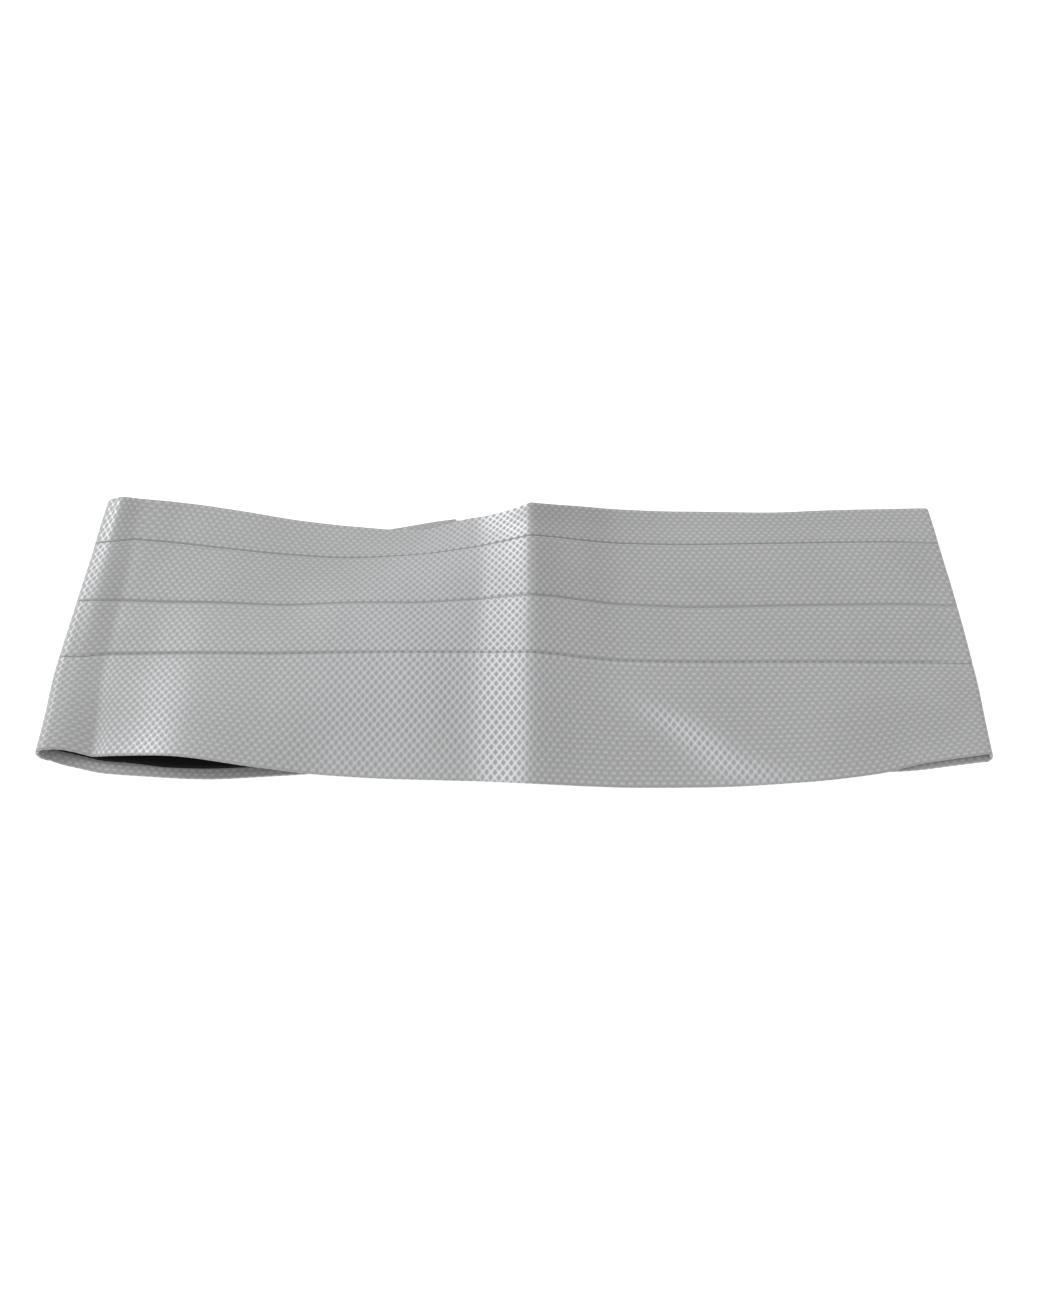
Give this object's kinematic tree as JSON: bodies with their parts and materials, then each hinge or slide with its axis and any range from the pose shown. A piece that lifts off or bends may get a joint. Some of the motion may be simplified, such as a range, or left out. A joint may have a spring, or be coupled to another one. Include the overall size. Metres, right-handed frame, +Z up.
{
  "type": "cummerbund",
  "caption": "Pleated cloth waist sash, fastened at the back and lying flat as a folded loop, with upward-opening pleats, turned hems, a dark lining and a plain hook plate.",
  "frame": {"origin": "middle of the underside's bounding rectangle, on the surface that the band lies on", "axes": "+X along the folded width, +Y from the lower hem to the upper hem, +Z up off the surface; the pleated front faces +Z"},
  "size_m": [0.4098, 0.14, 0.0256],
  "materials": {
    "silver_cloth": "satin woven silk-like cloth with small diamond cells",
    "dark_lining": "smooth dark lining cloth",
    "plain_metal": "plain metal"
  },
  "bodies": {
    "root": {"pleated_band": "silver_cloth", "lining": "dark_lining", "clasp": "plain_metal"}
  },
  "joints": []
}
